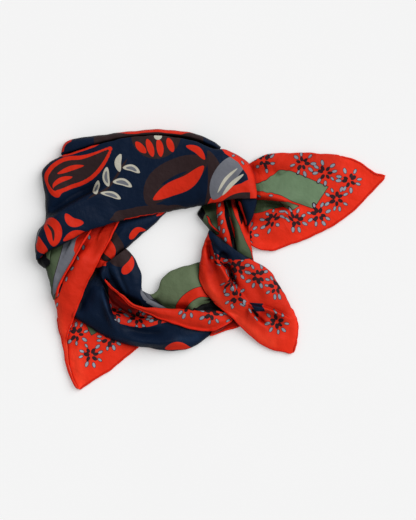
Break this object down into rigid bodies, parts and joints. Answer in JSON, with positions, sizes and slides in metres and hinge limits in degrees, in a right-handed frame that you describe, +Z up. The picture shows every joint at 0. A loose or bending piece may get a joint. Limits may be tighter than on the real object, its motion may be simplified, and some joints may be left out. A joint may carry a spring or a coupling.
{
  "type": "silk square scarf",
  "caption": "Square silk scarf with a rolled hem and a red flowered border, folded on the bias, looped into a ring and laid flat with its corners spread.",
  "frame": {"origin": "middle of the laid-out scarf's bounding box, on the surface it rests on", "axes": "+X towards the free corner that points away from the ring, +Z up from the surface"},
  "size_m": [0.3502, 0.2604, 0.0271],
  "materials": {
    "silk_red": "printed silk twill, soft sheen, red border with small flowers",
    "silk_navy": "printed silk twill, soft sheen, navy ground with leaf shapes",
    "silk_green": "printed silk twill, soft sheen, grey green panels",
    "silk_brown": "printed silk twill, soft sheen, dark brown shapes"
  },
  "bodies": {
    "root": {"hidden_layers": "silk_navy", "band_front": "silk_navy", "band_back": "silk_navy", "roll_under": "silk_green", "wrap_inner": "silk_navy", "left_fold": "silk_green", "left_strip": "silk_red", "corner_panel": "silk_red", "navy_band": "silk_navy", "ribbon": "silk_red", "under_hem": "silk_red", "inner_upper": "silk_navy", "inner_lower": "silk_brown", "inner_green": "silk_green", "neck": "silk_red", "tail_lower": "silk_red", "tail_right": "silk_red"}
  },
  "joints": []
}
